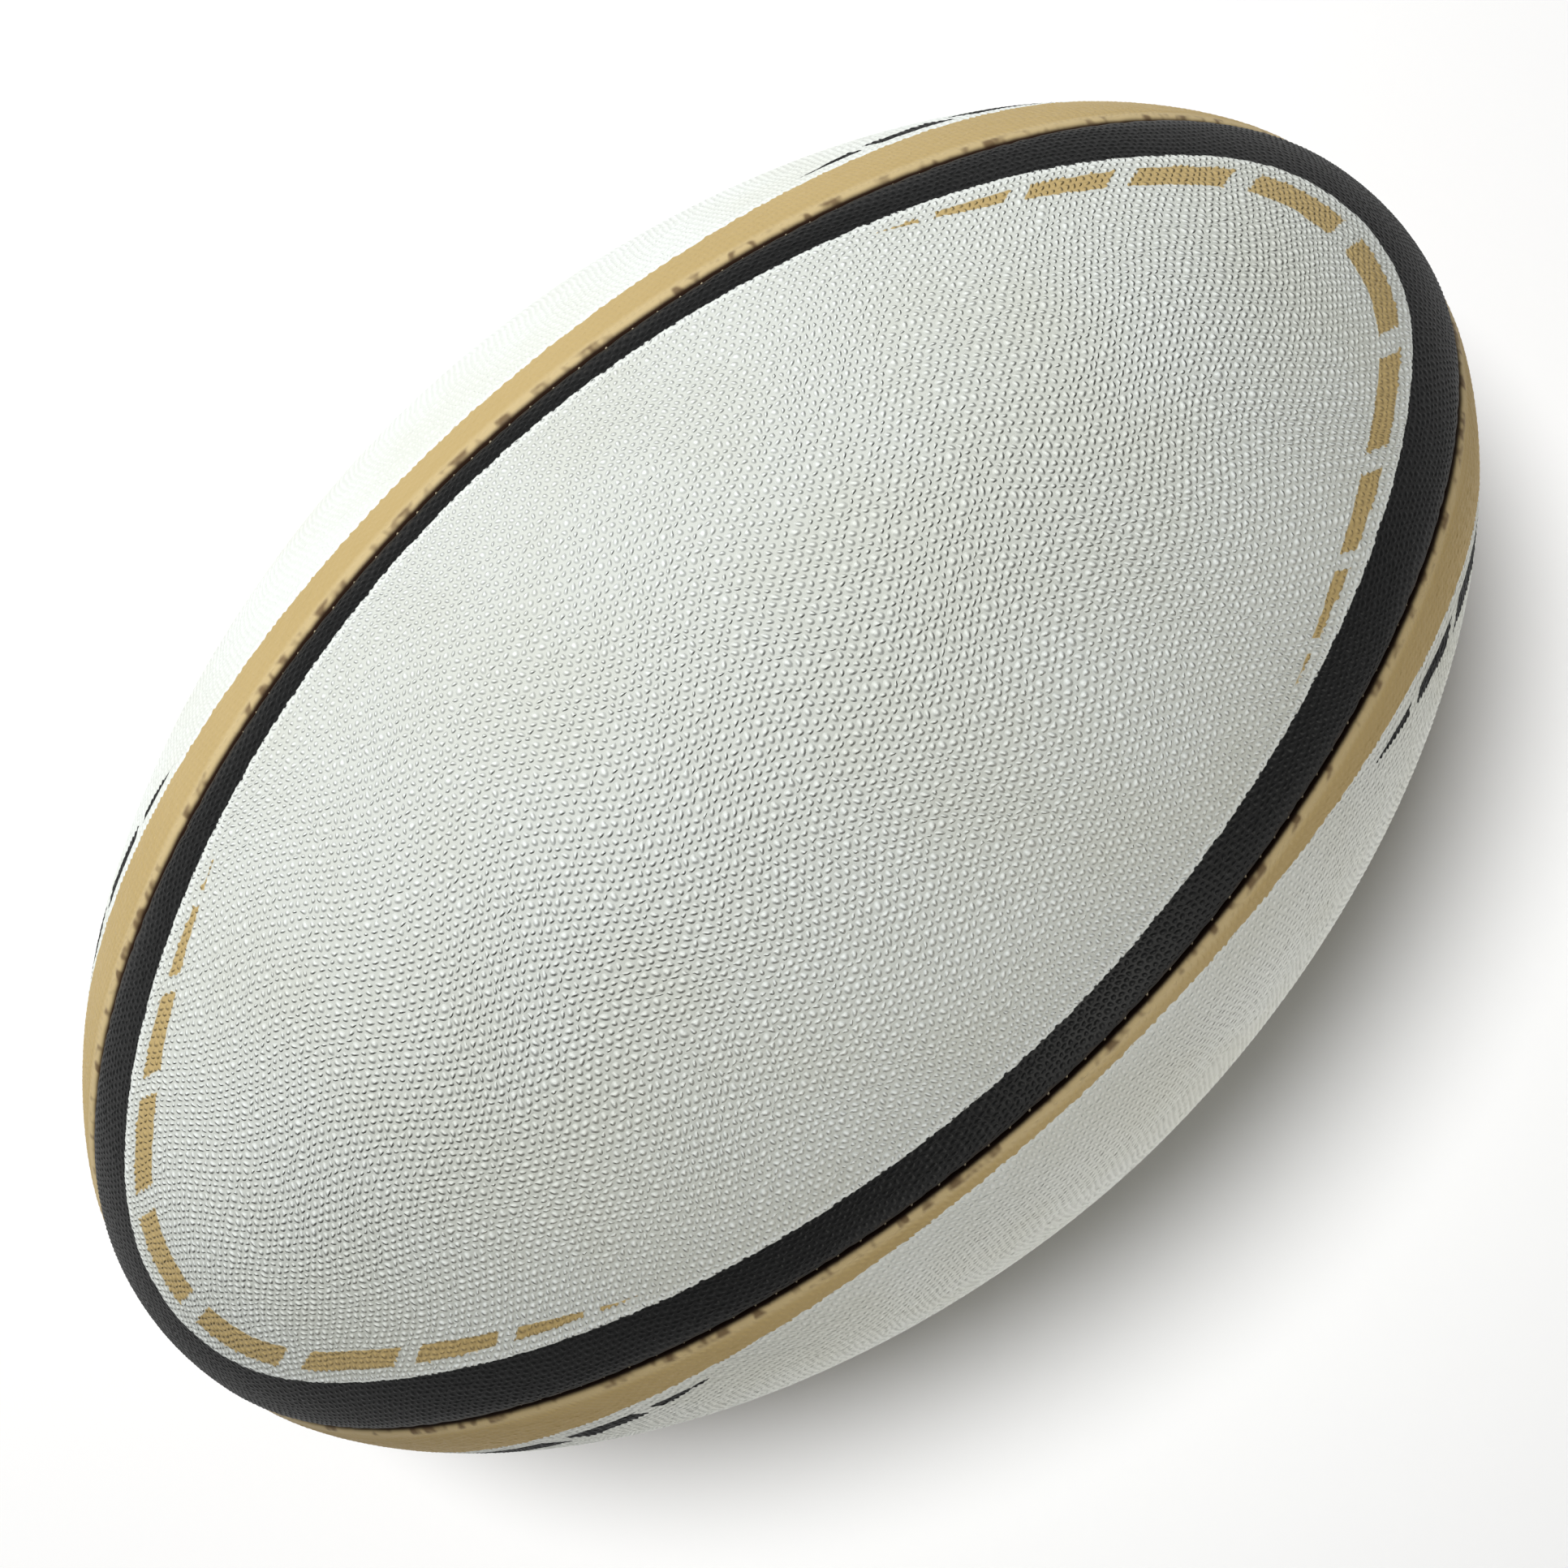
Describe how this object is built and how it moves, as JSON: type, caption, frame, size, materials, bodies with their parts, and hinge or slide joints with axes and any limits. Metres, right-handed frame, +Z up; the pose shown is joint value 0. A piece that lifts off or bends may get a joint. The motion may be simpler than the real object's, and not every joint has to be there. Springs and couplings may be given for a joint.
{
  "type": "rugby ball",
  "caption": "Oval hand-stitched rugby ball: rubber panels over cloth plies, stitched seams, and an inner bladder with a needle valve.",
  "frame": {"origin": "centre of the ball", "axes": "+X along the ball's long axis, +Z up through the middle of the top panel, -Y out through the valve in the middle of the front panel"},
  "size_m": [0.2952, 0.1856, 0.1858],
  "materials": {
    "panel_rubber": "moulded pimple grip, satin, with printed margins",
    "backing_cloth": "plain-woven poly-cotton, glued",
    "waxed_thread": "waxed",
    "bladder_rubber": "smooth, dusted",
    "valve_rubber": "moulded, satin"
  },
  "bodies": {
    "root": {"skin_top": "panel_rubber", "skin_back": "panel_rubber", "skin_bottom": "panel_rubber", "skin_front": "panel_rubber", "cloth_ply_top_1": "backing_cloth", "cloth_ply_top_2": "backing_cloth", "cloth_ply_top_3": "backing_cloth", "cloth_ply_back_1": "backing_cloth", "cloth_ply_back_2": "backing_cloth", "cloth_ply_back_3": "backing_cloth", "cloth_ply_bottom_1": "backing_cloth", "cloth_ply_bottom_2": "backing_cloth", "cloth_ply_bottom_3": "backing_cloth", "cloth_ply_front_1": "backing_cloth", "cloth_ply_front_2": "backing_cloth", "cloth_ply_front_3": "backing_cloth", "seam_thread_top_back": "waxed_thread", "seam_thread_back_bottom": "waxed_thread", "seam_thread_bottom_front": "waxed_thread", "seam_thread_front_top": "waxed_thread", "bladder": "bladder_rubber", "bladder_valve_patch": "bladder_rubber", "valve_collar": "valve_rubber", "valve_housing": "valve_rubber", "valve_core": "valve_rubber"}
  },
  "joints": []
}
